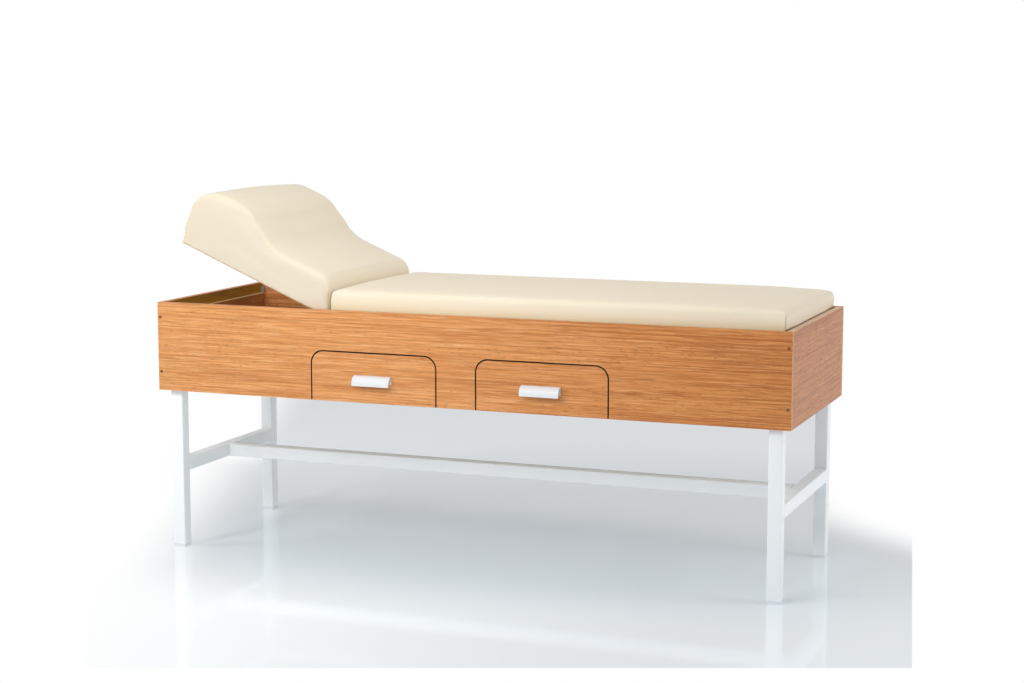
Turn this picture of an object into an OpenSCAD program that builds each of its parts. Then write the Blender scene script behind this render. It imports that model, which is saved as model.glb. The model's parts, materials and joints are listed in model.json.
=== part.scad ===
// Spa bed: an upholstered couch with a lifting headrest, on a boxed cabinet with two drawers
// and a square tube frame. +X runs to the foot end, +Y to the rear, +Z up. The origin is on the
// floor, under the middle of the whole bed.

/* [Cabinet] */
// Length of the cabinet over its end panels
box_l = 1900; // [1800:10:2050]
// Width of the cabinet over its front and rear panels
box_w = 630; // [580:10:700]
// Height of the cabinet's rim above the floor
rim_z = 735; // [700:5:790]
// Height of the skirt panels
panel_h = 260; // [250:5:290]
// Thickness of the skirt panels and drawer fronts
panel_t = 18; // [15:1:20]
// Thickness of the cabinet's floor board
floor_t = 9; // [6:1:12]
// Thickness of the partitions that carry the drawer slides
partition_t = 12; // [9:1:15]
// Thickness of the cleats under the upholstered boards
cleat_t = 12; // [10:1:15]
// Height of the cleats
cleat_h = 42; // [30:1:45]
// Depth of the cleats' top edge below the rim
cleat_drop = 32; // [25:1:36]

/* [Steel frame] */
// Side of the square tube of the legs and lower rails
tube_w = 38; // [32:1:45]
// Wall of the steel tube
tube_wall = 2; // [1.5:0.5:3]
// Outer corner radius of the steel tube
tube_r = 3.5; // [3.2:0.1:5]
// Height of the flat tube of the top rails
top_rail_h = 25; // [20:1:30]
// Height of the lower rails' underside above the floor
rail_z = 227; // [150:1:300]
// Inset of the legs from the cabinet's end faces
leg_inset_x = 26; // [20:1:60]
// Inset of the legs from the cabinet's front and rear faces
leg_inset_y = 20; // [20:1:40]
// Height of the top rails' underside above the skirt's lower edge
frame_recess = 5; // [0:1:8]
// Height of the plastic foot caps below the leg tubes
cap_h = 8; // [5:1:15]
// Depth that a foot cap's plug reaches into its tube
cap_plug_h = 16; // [10:1:25]

/* [Drawers] */
// Width of each drawer opening in the front panel
cut_w = 389.5; // [340:0.5:430]
// Height of each drawer opening above the skirt's lower edge
cut_h = 144.5; // [140:0.5:155]
// Radius of the opening's two upper corners
cut_r = 38; // [25:1:42]
// Distance from the headrest's hinge axis to the first drawer's centre
drawer_from_hinge = 146; // [130:1:170]
// Distance between the two drawers' centres
drawer_pitch = 507; // [500:1:540]
// Gap around each drawer front
drawer_gap = 2.5; // [1.5:0.5:4]
// Thickness of the drawer sides and back
side_t = 12; // [9:1:15]
// Height of the drawer sides
side_h = 80; // [60:1:84]
// Depth of the drawer box behind its front
drawer_d = 450; // [350:10:500]
// Thickness of the drawer's bottom sheet
bottom_t = 6; // [4:1:9]
// Height of the drawer box above the cabinet's floor
side_lift = 4; // [2:0.5:6]
// Height of the bottom sheet above the drawer sides' lower edge
bottom_lift = 6; // [4:1:10]

/* [Pulls] */
// Length of each pull
pull_l = 114; // [90:1:150]
// Height of each pull
pull_h = 28; // [25:1:34]
// Reach of each pull in front of the drawer front
pull_reach = 22; // [16:1:24]
// Thickness of the pull's plate
pull_t = 2.5; // [2:0.5:3]
// Height of the pull's top above the skirt's lower edge
pull_top = 79; // [60:1:100]

/* [Slides] */
// Thickness of a closed ball slide, from partition to drawer side
slide_t = 13; // [12:0.5:14]
// Height of the slide's outer channel
slide_h = 35; // [30:1:38]
// Length of each slide channel
slide_l = 440; // [330:10:480]
// Wall of the slide channels
slide_wall = 1.2; // [1:0.1:1.4]
// Play between two nested slide channels
slide_play = 0.8; // [0.5:0.1:0.9]

/* [Upholstery] */
// Height of the body pad from the cleats to its top edge
pad_h = 87; // [70:1:100]
// Extra height of each pad along its middle
pad_crown = 8; // [2:0.5:10]
// Width of the rounding along the pads' top edges
pad_round_w = 30; // [20:1:40]
// Height of the rounding along the pads' top edges
pad_round_h = 22; // [14:1:28]
// Width of the rounding over the pads' ends
end_round_w = 16; // [8:1:30]
// Height of the rounding over the pads' ends
end_round_h = 16; // [8:1:24]
// Radius of the pads' upright corners
pad_corner_r = 2; // [1:0.5:8]
// Drop of the body pad's top edge towards its foot end
foot_fall = 6; // [2:0.5:8]
// Length over which the body pad's top edge drops
foot_fall_l = 200; // [100:10:300]
// How far the pads' sides are drawn in at the bottom
pad_tuck = 1.5; // [0.5:0.5:2]
// How far the pads' head and foot ends swell over the cabinet's rim
end_bulge = 4; // [0.5:0.5:8]
// Gap between the pads and the cabinet's panels
pad_gap = 2; // [1:0.5:5]
// Thickness of the plywood boards under the pads
board_t = 12; // [9:1:15]
// Width of the cover's wrap round the boards' edges
wrap_t = 4; // [3:0.5:6]

/* [Headrest] */
// Distance from the cabinet's head end to the headrest's hinge axis
hinge_from_head = 550.5; // [520:0.5:580]
// Distance between two notches along the stay's bar
notch_step = 27.75; // [25:0.25:29]
// Notch that the headrest rests in, counted from flat; here its highest one
rest_notch = 3; // [1:1:3]
// Height of the headrest's low part over its board's underside
low_h = 101; // [90:1:110]
// Height of the headrest's bolster over its board's underside
crest_h = 176; // [150:1:200]
// Distance from the hinge axis to where the bolster starts to rise
neck_u = 215; // [180:1:240]
// Distance from the headrest's head end to the bolster's crest
crest_from_end = 89.5; // [80:0.5:120]
// Gap between the cabinet's head panel and the lowered headrest
head_gap = 10; // [10:0.5:20]
// Length of the rounding over the bolster's head end
head_round_l = 70; // [40:1:75]
// Height of the rounding over the bolster's head end
head_round_h = 50; // [30:1:70]
// Radius between the headrest's foot end and its top
toe_r = 44; // [20:1:50]

/* [Hinge and stay] */
// Thickness of the hinge leaves
leaf_t = 1.5; // [1.2:0.1:2]
// Width of the hinge leaves
leaf_w = 28; // [22:1:34]
// Radius of the hinge knuckles
knuckle_r = 3; // [2.8:0.1:3.4]
// Radius of the hinge pin
hinge_pin_r = 1.25; // [1:0.05:1.4]
// Number of knuckles along the hinge
knuckle_count = 9; // [5:2:13]
// Width of the wooden rail that carries the hinge
hinge_rail_w = 30; // [24:1:40]
// Distance from the hinge axis to both pivots of the stay
stay_r = 230; // [225:1:240]
// Height of the stay's lower pivot above the cabinet's floor board
stay_foot_h = 30; // [26:1:32]
// Depth of the stay's upper pivot below the hinge axis when the headrest is flat
stay_drop = 18; // [16:0.5:20]
// Width of the stay's sleeve
sleeve_w = 22; // [20:0.5:26]
// Thickness of the stay's sleeve
sleeve_t = 12; // [11:0.5:14]
// Wall of the stay's sleeve
sleeve_wall = 1.5; // [1:0.1:1.8]
// Gap between the sleeve's top and the bar's eye when the headrest is flat
stay_top_gap = 4; // [2:0.5:8]
// Gap between the bar's lower end and the lower pivot's pin when the headrest is flat
stay_end_gap = 7; // [3:0.5:12]
// Radius of the stay's two pivot pins
stay_pin_r = 4; // [3:0.5:4.5]

/* [Hidden] */
$fn = 48;

wood = "peru";
ply = "burlywood";
paint = "white";
steel = "silver";
cream = "wheat";

// Overrun of every cut past the face that it opens
over = 1;
// Radial play of pins, screws and plugs in their holes
fit = 0.05;

// Levels and faces of the cabinet
under_z = rim_z - panel_h;
frame_top_z = under_z + frame_recess + top_rail_h;
floor_top_z = frame_top_z + floor_t;
cleat_top_z = rim_z - cleat_drop;
cleat_low_z = cleat_top_z - cleat_h;
head_x = -box_l / 2;
foot_x = box_l / 2;
front_y = -box_w / 2 + pull_reach / 2;
rear_y = front_y + box_w;
mid_y = (front_y + rear_y) / 2;
in_head_x = head_x + panel_t;
in_foot_x = foot_x - panel_t;
in_front_y = front_y + panel_t;
in_rear_y = rear_y - panel_t;

// Places of the legs' outer corners
leg_head_x = head_x + leg_inset_x;
leg_foot_x = foot_x - leg_inset_x - tube_w;
leg_front_y = front_y + leg_inset_y;
leg_rear_y = rear_y - leg_inset_y - tube_w;
cap_play = 0.2;

// Plugged screws at the cabinet's upright corners
plug_r = 4.5;
plug_h = 5;
plug_from_rim = 43.5;
plug_from_under = 55;
screw_r = 2.1;
screw_head_r = 4;
screw_head_h = 3;
corner_screw_l = 50;
floor_screw_l = 20;
floor_screw_shares = [-0.4, -0.13, 0.13, 0.4];

// Blocks in the head corners, and buffers that the lowered headrest lies on
block_clear = 1.5;
block_x = head_gap - block_clear;
block_y = 14;
block_h = 19;
block_r = 4;
buffer_inset = 1;
buffer_r = cleat_t / 2 - buffer_inset;
buffer_clear = 0.3;
buffer_shares = [0.2, 0.7];

// Hinge of the headrest
knuckle_clear = 0.4;
leaf_gap = 0.1;
hinge_x = head_x + hinge_from_head;
hinge_z = cleat_top_z + knuckle_r + knuckle_clear;
base_off = leaf_t + leaf_gap;
hinge_end = 4;
hinge_y0 = in_front_y + cleat_t + hinge_end;
hinge_y1 = in_rear_y - cleat_t - hinge_end;
knuckle_slit = 0.5;
rail_face_x = hinge_x + base_off;

// Stay of the headrest: both pivots lie stay_r from the hinge axis, so it turns half as far as the headrest
stay_low_z = floor_top_z + stay_foot_h;
stay_fall = asin((hinge_z - stay_low_z) / stay_r);
stay_lift = asin(stay_drop / stay_r);
stay_shut = 2 * stay_r * sin((stay_fall - stay_lift) / 2);
stay_len = stay_shut + rest_notch * notch_step;
stay_open = 2 * asin(stay_len / 2 / stay_r);
stay_lean = stay_fall - stay_open / 2;
stay_low_x = hinge_x - stay_r * cos(stay_fall);
stay_pin_u = sqrt(stay_r * stay_r - stay_drop * stay_drop);
rest_tilt = stay_open - stay_fall + stay_lift;

// Boards under the pads
board_clear = 0.6;
body_board_x = hinge_x + knuckle_r + knuckle_clear + board_clear;
body_foot_x = in_foot_x - pad_gap;
pad_front_y = in_front_y + pad_gap;
pad_w = in_rear_y - in_front_y - 2 * pad_gap;

// Pads: the headrest's foot end stands upright in its highest notch, close to the body pad's end
fall_u = end_round_w - end_bulge;
toe_u = knuckle_r + 1.2 * knuckle_clear + board_clear;
toe_lean = 1.5;
toe_slant = rest_tilt + toe_lean;
joint_gap = 2;
body_head_x = hinge_x - joint_gap;
head_u = hinge_from_head - panel_t - head_gap;
crest_u = head_u - crest_from_end;
edge_band = 60;
edge_steps = 6;
crown_steps = 8;
arc_steps = 6;
rise_steps = 14;
fall_steps = 5;
long_steps = 6;

// Sections and ends of the stay
sleeve_tail = 12;
bar_play = 0.5;
bar_w = sleeve_w - 2 * sleeve_wall - 2 * bar_play;
bar_t = sleeve_t - 2 * sleeve_wall - 2 * bar_play;
eye_r = 11;
eye_slack = 1.8;
eye_play = 0.2;
sleeve_l = stay_shut - eye_r - stay_top_gap;
bar_l = stay_shut - stay_pin_r - stay_end_gap;
tooth_r = 2;
ear_t = 2;
ear_r = 9;
ear_l = 40;
ear_play = 0.5;

// Drawers
drawer_xs = [for (i = [0, 1]) hinge_x + drawer_from_hinge + i * drawer_pitch];
side_low_z = floor_top_z + side_lift;
slide_z = side_low_z + side_h / 2;
slide_back = 2;
outer_d = 9;
middle_d = 7;
inner_d = 7;
pull_screw_gap = 64;
pull_screw_r = 2;
pull_head_r = 3.5;
pull_head_h = 2;
pull_screw_l = 14;
flange_h = 23;

// Box between two corner points
module slab(a, b) {
    translate(a) cube(b - a);
}

// A screw place on each side panel's two ends, as x and z
function corner_places() = [
    for (x = [head_x + panel_t / 2, foot_x - panel_t / 2])
        for (z = [rim_z - plug_from_rim, under_z + plug_from_under]) [x, 0, z]
];

// Extrudes a profile drawn in (x, z) from y0 to y1
module run_y(y0, y1) {
    translate([0, y1, 0]) rotate([90, 0, 0]) linear_extrude(y1 - y0) children();
}

// Extrudes a profile drawn in (y, z) from x0 to x1
module run_x(x0, x1) {
    translate([x0, 0, 0]) rotate([90, 0, 90]) linear_extrude(x1 - x0) children();
}

// Cylinder along +Y from y0 to y1
module rod_y(r, y0, y1) {
    translate([0, y0, 0]) rotate([-90, 0, 0]) cylinder(h = y1 - y0, r = r);
}

// Mirrors its children in the bed's long upright middle plane
module to_rear(rear = true) {
    translate([0, rear ? 2 * mid_y : 0, 0]) mirror([0, rear ? 1 : 0, 0]) children();
}

// Front copy and rear copy
module both_sides() {
    children();
    to_rear() children();
}

// Turns the flat headrest up to the angle that it rests at
module raised() {
    translate([hinge_x, 0, hinge_z]) rotate([0, rest_tilt, 0]) translate([-hinge_x, 0, -hinge_z]) children();
}

// Rectangle with round corners, its lower left corner at the origin
module round_rect(w, h, r) {
    translate([r, 0]) square([w - 2 * r, h]);
    translate([0, r]) square([w, h - 2 * r]);
    for (x = [r, w - r], y = [r, h - r]) translate([x, y]) circle(r = r);
}

// Section of a steel tube
module tube_section(w, h) {
    difference() {
        round_rect(w, h, tube_r);
        translate([tube_wall, tube_wall])
            round_rect(w - 2 * tube_wall, h - 2 * tube_wall, tube_r - tube_wall);
    }
}

module leg(x, y) {
    color(paint) translate([x, y, cap_h]) linear_extrude(frame_top_z - cap_h) tube_section(tube_w, tube_w);
}

module foot_caps() {
    plug_w = tube_w - 2 * tube_wall - 2 * cap_play;
    inset = tube_wall + cap_play;
    color(paint) for (x = [leg_head_x, leg_foot_x], y = [leg_front_y, leg_rear_y]) translate([x, y, 0]) {
        linear_extrude(cap_h) round_rect(tube_w, tube_w, tube_r);
        translate([inset, inset, 0]) linear_extrude(cap_h + cap_plug_h)
            round_rect(plug_w, plug_w, tube_r - tube_wall);
    }
}

// Lower rail between the two legs of one end
module end_rail(x) {
    color(paint) translate([x, 0, rail_z])
        run_y(leg_front_y + tube_w, leg_rear_y) tube_section(tube_w, tube_w);
}

module centre_stretcher() {
    color(paint) translate([0, mid_y - tube_w / 2, rail_z])
        run_x(leg_head_x + tube_w, leg_foot_x) tube_section(tube_w, tube_w);
}

// Holes for the floor screws in the long top rails
module floor_screw_holes(r, z0, z1) {
    for (s = floor_screw_shares, y = [leg_front_y, leg_rear_y])
        translate([s * box_l, y + tube_w / 2, z0]) cylinder(h = z1 - z0, r = r);
}

module top_rail_long(y) {
    color(paint) difference() {
        translate([0, y, frame_top_z - top_rail_h])
            run_x(leg_head_x + tube_w, leg_foot_x) tube_section(tube_w, top_rail_h);
        floor_screw_holes(screw_r + fit, frame_top_z - tube_wall - over, frame_top_z + over);
    }
}

module top_rail_end(x) {
    color(paint) translate([x, 0, frame_top_z - top_rail_h])
        run_y(leg_front_y + tube_w, leg_rear_y) tube_section(tube_w, top_rail_h);
}

// Outline of a drawer opening, standing on the skirt's lower edge, shrunk by gap at its sides and top
module arch(gap) {
    w = cut_w - 2 * gap;
    h = cut_h - gap;
    r = cut_r - gap;
    translate([-w / 2, 0]) square([w, h - r]);
    translate([r - w / 2, 0]) square([w - 2 * r, h]);
    for (x = [r - w / 2, w / 2 - r]) translate([x, h - r]) circle(r = r);
}

// Plug and screw holes through a front panel into the end panels
module corner_holes() {
    for (p = corner_places()) translate(p) {
        rod_y(plug_r, front_y - over, front_y + plug_h + screw_head_h);
        rod_y(screw_r + fit, front_y, front_y + corner_screw_l + over);
    }
}

module front_panel() {
    color(wood) difference() {
        slab([head_x, front_y, under_z], [foot_x, in_front_y, rim_z]);
        for (x = drawer_xs) translate([x, 0, under_z]) {
            run_y(front_y - over, in_front_y + over) arch(0);
            slab([-cut_w / 2, front_y - over, -over], [cut_w / 2, in_front_y + over, over]);
        }
        corner_holes();
    }
}

module rear_panel() {
    color(wood) difference() {
        slab([head_x, in_rear_y, under_z], [foot_x, rear_y, rim_z]);
        to_rear() corner_holes();
    }
}

module end_panel(x) {
    color(wood) difference() {
        slab([x, in_front_y, under_z], [x + panel_t, in_rear_y, rim_z]);
        both_sides() corner_holes();
    }
}

module floor_board() {
    color(ply) difference() {
        slab([in_head_x, in_front_y, frame_top_z], [in_foot_x, in_rear_y, floor_top_z]);
        floor_screw_holes(screw_r + fit, frame_top_z - over, floor_top_z + over);
        floor_screw_holes(screw_head_r + fit, floor_top_z - screw_head_h, floor_top_z + over);
    }
}

module side_cleat() {
    color(wood) slab([in_head_x, in_front_y, cleat_low_z], [in_foot_x, in_front_y + cleat_t, cleat_top_z]);
}

module end_cleat(x) {
    color(wood) slab([x, in_front_y + cleat_t, cleat_low_z], [x + cleat_t, in_rear_y - cleat_t, cleat_top_z]);
}

// The two uprights beside one drawer
module partitions(x) {
    color(ply) for (x0 = [x - cut_w / 2 - partition_t, x + cut_w / 2])
        slab([x0, in_front_y, floor_top_z], [x0 + partition_t, in_rear_y, cleat_low_z]);
}

module hinge_rail() {
    color(wood) slab([rail_face_x, in_front_y + cleat_t, cleat_low_z],
        [rail_face_x + hinge_rail_w, in_rear_y - cleat_t, cleat_top_z]);
}

module corner_plugs() {
    color(wood) both_sides() for (p = corner_places())
        translate(p) rod_y(plug_r - fit, front_y, front_y + plug_h);
}

module corner_screws() {
    head_y = front_y + plug_h;
    color(steel) both_sides() for (p = corner_places()) translate(p) {
        rod_y(screw_head_r, head_y, head_y + screw_head_h);
        rod_y(screw_r, head_y, front_y + corner_screw_l);
    }
}

module floor_screws() {
    color(steel) {
        floor_screw_holes(screw_head_r, floor_top_z - screw_head_h, floor_top_z);
        floor_screw_holes(screw_r, floor_top_z - floor_screw_l, floor_top_z);
    }
}

// Blocks that tie the head panel to the side panels above the cleats
module corner_blocks() {
    color("lightgray") both_sides() translate([in_head_x, in_front_y, cleat_top_z]) linear_extrude(block_h) {
        square([block_x - block_r, block_y]);
        square([block_x, block_y - block_r]);
        translate([block_x - block_r, block_y - block_r]) circle(r = block_r);
    }
}

// Rubber buffers on the side cleats, just under the lowered headrest
module rest_buffers() {
    color("dimgray") both_sides() for (s = buffer_shares)
        translate([in_head_x + s * head_u, in_front_y + cleat_t / 2, cleat_top_z])
            cylinder(h = hinge_z + base_off - cleat_top_z - buffer_clear, r = buffer_r);
}

module body_board() {
    color(ply) slab([body_board_x, pad_front_y + wrap_t, cleat_top_z],
        [body_foot_x - wrap_t, pad_front_y + pad_w - wrap_t, cleat_top_z + board_t]);
}

function ease(t) = t * t * (3 - 2 * t);

// Quarter of an ellipse about c, from angle a0 to a1
function sweep_arc(c, rx, ry, a0, a1) =
    [for (i = [0:arc_steps]) let(a = a0 + (a1 - a0) * i / arc_steps) c + [rx * cos(a), ry * sin(a)]];

// Side outline of the body pad: distance from its foot end, and height
function body_outline(l) = concat(
    [[pad_tuck, 0], [0, cleat_drop]],
    sweep_arc([fall_u, pad_h - foot_fall - end_round_h], end_round_w, end_round_h, 180, 90),
    [for (i = [1:fall_steps]) let(t = i / fall_steps)
        [fall_u + foot_fall_l * t, pad_h - foot_fall * (1 - t) * (1 - t)]],
    [for (i = [1:long_steps - 1])
        [fall_u + foot_fall_l + (l - fall_u - end_round_w - foot_fall_l) * i / long_steps, pad_h]],
    sweep_arc([l - end_round_w, pad_h - end_round_h], end_round_w, end_round_h, 90, 0),
    [[l - pad_tuck, 0]]
);

// Side outline of the flat headrest: distance from the hinge axis, and height over the board's underside
toe_c = [toe_u + (toe_r + (low_h - toe_r) * sin(toe_slant)) / cos(toe_slant), low_h - toe_r];
head_outline = concat(
    [[toe_u, 0]],
    sweep_arc(toe_c, toe_r, toe_r, 180 - toe_slant, 90),
    [for (i = [1:2]) [toe_c[0] + (neck_u - toe_c[0]) * i / 3, low_h]],
    [for (i = [0:rise_steps]) let(t = i / rise_steps)
        [neck_u + (crest_u - neck_u) * t, low_h + (crest_h - low_h) * ease(t)]],
    sweep_arc([head_u + end_bulge - head_round_l, crest_h - head_round_h], head_round_l, head_round_h, 90, 0),
    [[head_u + end_bulge, edge_band], [head_u, cleat_drop], [head_u - pad_tuck, 0]]
);

// Places across a pad's width, each with how far it is round the edge: 1 at the side face, 0 on top
pad_stations = concat(
    [for (i = [0:edge_steps]) let(a = 90 * i / edge_steps) [pad_round_w * (1 - cos(a)), 1 - sin(a)]],
    [for (i = [1:crown_steps - 1]) [pad_round_w + (pad_w - 2 * pad_round_w) * i / crown_steps, 0]],
    [for (i = [edge_steps:-1:0]) let(a = 90 * i / edge_steps)
        [pad_w - pad_round_w * (1 - cos(a)), 1 - sin(a)]]
);

// How far a point of a pad's side is drawn in, at height h and rounding share e of the station
function tuck(h, e, s) = -sign(s) * pad_tuck * e * (1 - min(1, h / edge_band));

// One cross ring of a pad whose outline runs from x0 towards the head end
function pad_ring(outline, x0, z0, half, station) = [for (p = outline)
    let(s = 2 * station[0] / pad_w - 1)
    [
        x0 - half - (p[0] - half) * (1 - pad_corner_r * station[1] / half),
        pad_front_y + station[0] + tuck(p[1], station[1], s),
        z0 + p[1] + pad_crown * (1 - s * s) * pow(min(1, p[1] / low_h), 3)
            - pad_round_h * station[1] * min(1, p[1] / edge_band)
    ]
];

// Padded solid with a rounded edge all round its top
module pad_solid(outline, x0, z0, half) {
    n = len(outline);
    m = len(pad_stations);
    rings = [for (st = pad_stations) each pad_ring(outline, x0, z0, half, st)];
    core = [for (s = [-1, 1])
        [x0 - half, pad_front_y + (1 + s) * pad_w / 2 + tuck(board_t, 1, s), z0 + board_t]];
    skin = [for (j = [0:m - 2], i = [0:n - 1]) let(k = (i + 1) % n)
        each [[j * n + i, j * n + k, (j + 1) * n + k], [j * n + i, (j + 1) * n + k, (j + 1) * n + i]]];
    near = [for (i = [0:n - 1]) [n * m, (i + 1) % n, i]];
    far = [for (i = [0:n - 1]) [n * m + 1, (m - 1) * n + i, (m - 1) * n + (i + 1) % n]];
    polyhedron(points = concat(rings, core), faces = concat(skin, near, far));
}

module body_pad() {
    l = body_foot_x - body_head_x;
    color(cream) difference() {
        pad_solid(body_outline(l), body_foot_x, cleat_top_z, l / 2);
        slab([body_board_x, pad_front_y + wrap_t, cleat_top_z - over],
            [body_foot_x - wrap_t, pad_front_y + pad_w - wrap_t, cleat_top_z + board_t]);
        slab([body_head_x - over, pad_front_y - over, cleat_top_z - over],
            [body_board_x + over, pad_front_y + pad_w + over, hinge_z + knuckle_r + board_clear]);
    }
}

// Space of the headrest's board, from its underside
module head_board_space(drop) {
    base_z = hinge_z + base_off;
    toe_x = hinge_x - toe_u - board_t * tan(toe_slant);
    slab([hinge_x - head_u + wrap_t, pad_front_y + wrap_t, base_z - drop],
        [toe_x, pad_front_y + pad_w - wrap_t, base_z + board_t]);
}

module head_board() {
    color(ply) raised() head_board_space(0);
}

module head_pad() {
    color(cream) raised() difference() {
        pad_solid(head_outline, hinge_x, hinge_z + base_off, head_u / 2);
        head_board_space(over);
    }
}

// Knuckles of one leaf: every second one from the first or the second
module knuckles(first) {
    pitch = (hinge_y1 - hinge_y0) / knuckle_count;
    for (i = [first:2:knuckle_count - 1])
        translate([0, hinge_y0 + i * pitch, 0]) rod_y(knuckle_r, knuckle_slit / 2, pitch - knuckle_slit / 2);
}

// Straps that join a leaf's plate to its own knuckles
module leaf_straps(first) {
    pitch = (hinge_y1 - hinge_y0) / knuckle_count;
    reach = knuckle_r + knuckle_clear + over;
    for (i = [first:2:knuckle_count - 1])
        slab([leaf_gap, hinge_y0 + i * pitch + knuckle_slit / 2, -reach],
            [base_off, hinge_y0 + (i + 1) * pitch - knuckle_slit / 2, 0]);
}

// One leaf hanging from the axis, its back on the plane x = base_off
module hinge_leaf(first) {
    difference() {
        union() {
            knuckles(first);
            leaf_straps(first);
            slab([leaf_gap, hinge_y0, -leaf_w], [base_off, hinge_y1, -knuckle_r - knuckle_clear]);
        }
        rod_y(hinge_pin_r + fit, hinge_y0 - over, hinge_y1 + over);
    }
}

module hinge_leaf_fixed() {
    color(steel) translate([hinge_x, 0, hinge_z]) hinge_leaf(0);
}

module hinge_leaf_moving() {
    color(steel) raised() translate([hinge_x, 0, hinge_z]) rotate([0, 90, 0]) mirror([1, 0, 0]) hinge_leaf(1);
}

module hinge_pin() {
    color(steel) translate([hinge_x, 0, hinge_z]) rod_y(hinge_pin_r, hinge_y0, hinge_y1);
}

// Two ears with a pin across them and a foot plate, the pin at the origin and the plate's far face at z = h
module pin_bracket(h) {
    half = sleeve_t / 2 + ear_play + ear_t;
    for (y = [-half, half - ear_t]) {
        rod_y(ear_r, y, y + ear_t);
        slab([-ear_r, y, 0], [ear_r, y + ear_t, h]);
    }
    slab([-ear_l / 2, -half, h - ear_t], [ear_l / 2, half, h]);
    rod_y(stay_pin_r, -half, half);
}

// Bracket under the headrest's board
module stay_bracket() {
    color(steel) raised() translate([hinge_x - stay_pin_u, mid_y, hinge_z - stay_drop])
        pin_bracket(base_off + stay_drop);
}

// Bracket on the cabinet's floor board
module stay_foot() {
    color(steel) translate([stay_low_x, mid_y, stay_low_z]) mirror([0, 0, 1])
        pin_bracket(stay_foot_h);
}

module stay_sleeve() {
    color(steel) translate([stay_low_x, mid_y, stay_low_z]) rotate([0, -stay_lean, 0]) difference() {
        slab([-sleeve_w / 2, -sleeve_t / 2, -sleeve_tail], [sleeve_w / 2, sleeve_t / 2, sleeve_l]);
        slab([sleeve_wall - sleeve_w / 2, sleeve_wall - sleeve_t / 2, -sleeve_tail - over],
            [sleeve_w / 2 - sleeve_wall, sleeve_t / 2 - sleeve_wall, sleeve_l + over]);
        rod_y(stay_pin_r + fit, -sleeve_t, sleeve_t);
    }
}

// Toothed bar with a long eye at its top, seen along Y
module bar_outline() {
    difference() {
        union() {
            translate([-bar_w / 2, -bar_l]) square([bar_w, bar_l]);
            circle(r = eye_r);
        }
        for (i = [1:rest_notch + 1]) translate([-bar_w / 2, -bar_l + i * notch_step]) circle(r = tooth_r);
        translate([-stay_pin_r - eye_play, -eye_slack]) square([2 * (stay_pin_r + eye_play), 2 * eye_slack]);
        for (z = [-eye_slack, eye_slack]) translate([0, z]) circle(r = stay_pin_r + eye_play);
    }
}

module stay_bar() {
    color(steel)
        translate([stay_low_x - stay_len * sin(stay_lean), mid_y, stay_low_z + stay_len * cos(stay_lean)])
        rotate([0, -stay_lean, 0]) run_y(-bar_t / 2, bar_t / 2) bar_outline();
}

// Places of the two pull screws, as holes or shanks from y0 to y1
module pull_shanks(x, r, y0, y1) {
    for (s = [-0.5, 0.5])
        translate([x + s * pull_screw_gap, 0, under_z + pull_top - pull_reach / 2]) rod_y(r, y0, y1);
}

module drawer_front(x) {
    color(wood) difference() {
        translate([x, 0, under_z]) run_y(front_y, in_front_y) arch(drawer_gap);
        pull_shanks(x, pull_screw_r + fit, front_y - over, front_y + pull_screw_l);
    }
}

module drawer_sides(x) {
    half = cut_w / 2 - slide_t;
    color(ply) for (x0 = [x - half, x + half - side_t])
        slab([x0, in_front_y, side_low_z], [x0 + side_t, in_front_y + drawer_d, side_low_z + side_h]);
}

module drawer_back(x) {
    half = cut_w / 2 - slide_t - side_t;
    color(ply) slab([x - half, in_front_y + drawer_d - side_t, side_low_z],
        [x + half, in_front_y + drawer_d, side_low_z + side_h]);
}

module drawer_bottom(x) {
    half = cut_w / 2 - slide_t - side_t;
    z = side_low_z + bottom_lift;
    color(ply) slab([x - half, in_front_y, z], [x + half, in_front_y + drawer_d - side_t, z + bottom_t]);
}

// Section of a pull, its top edge at height 0 on the drawer front, reaching forward along -y
module pull_section() {
    r = pull_reach;
    translate([0, -r]) intersection() {
        difference() {
            circle(r = r);
            circle(r = r - pull_t);
        }
        translate([-r, 0]) square([r, r]);
    }
    translate([-r, -pull_h]) square([pull_t, pull_h - r]);
    translate([-pull_t, -flange_h]) square([pull_t, flange_h]);
}

module pull(x) {
    color(paint) difference() {
        translate([0, front_y, under_z + pull_top]) run_x(x - pull_l / 2, x + pull_l / 2) pull_section();
        pull_shanks(x, pull_screw_r + fit, front_y - pull_t - over, front_y + over);
    }
}

module pull_screws(x) {
    head_y = front_y - pull_t;
    color(steel) {
        pull_shanks(x, pull_head_r, head_y - pull_head_h, head_y);
        pull_shanks(x, pull_screw_r, head_y - pull_head_h, front_y + pull_screw_l);
    }
}

// Channel of a slide: web on x = 0, flanges reaching to x = d
module channel(h, d) {
    translate([0, -h / 2]) square([slide_wall, h]);
    for (z = [-h / 2, h / 2 - slide_wall]) translate([0, z]) square([d, slide_wall]);
}

// A pair of channels beside a drawer, drawn from the partition inwards
module slide_pair(x) {
    for (side = [0, 1])
        translate([x, 0, slide_z]) mirror([side, 0, 0]) translate([-cut_w / 2, 0, 0])
            run_y(in_front_y + slide_back, in_front_y + slide_back + slide_l) children();
}

module outer_slides(x) {
    color(steel) slide_pair(x) channel(slide_h, outer_d);
}

module middle_slides(x) {
    step = slide_wall + slide_play;
    color(steel) slide_pair(x) translate([step, 0]) channel(slide_h - 2 * step, middle_d);
}

module inner_slides(x) {
    step = slide_wall + slide_play;
    color(steel) slide_pair(x) translate([slide_t, 0]) mirror([1, 0]) channel(slide_h - 4 * step, inner_d);
}

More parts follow.
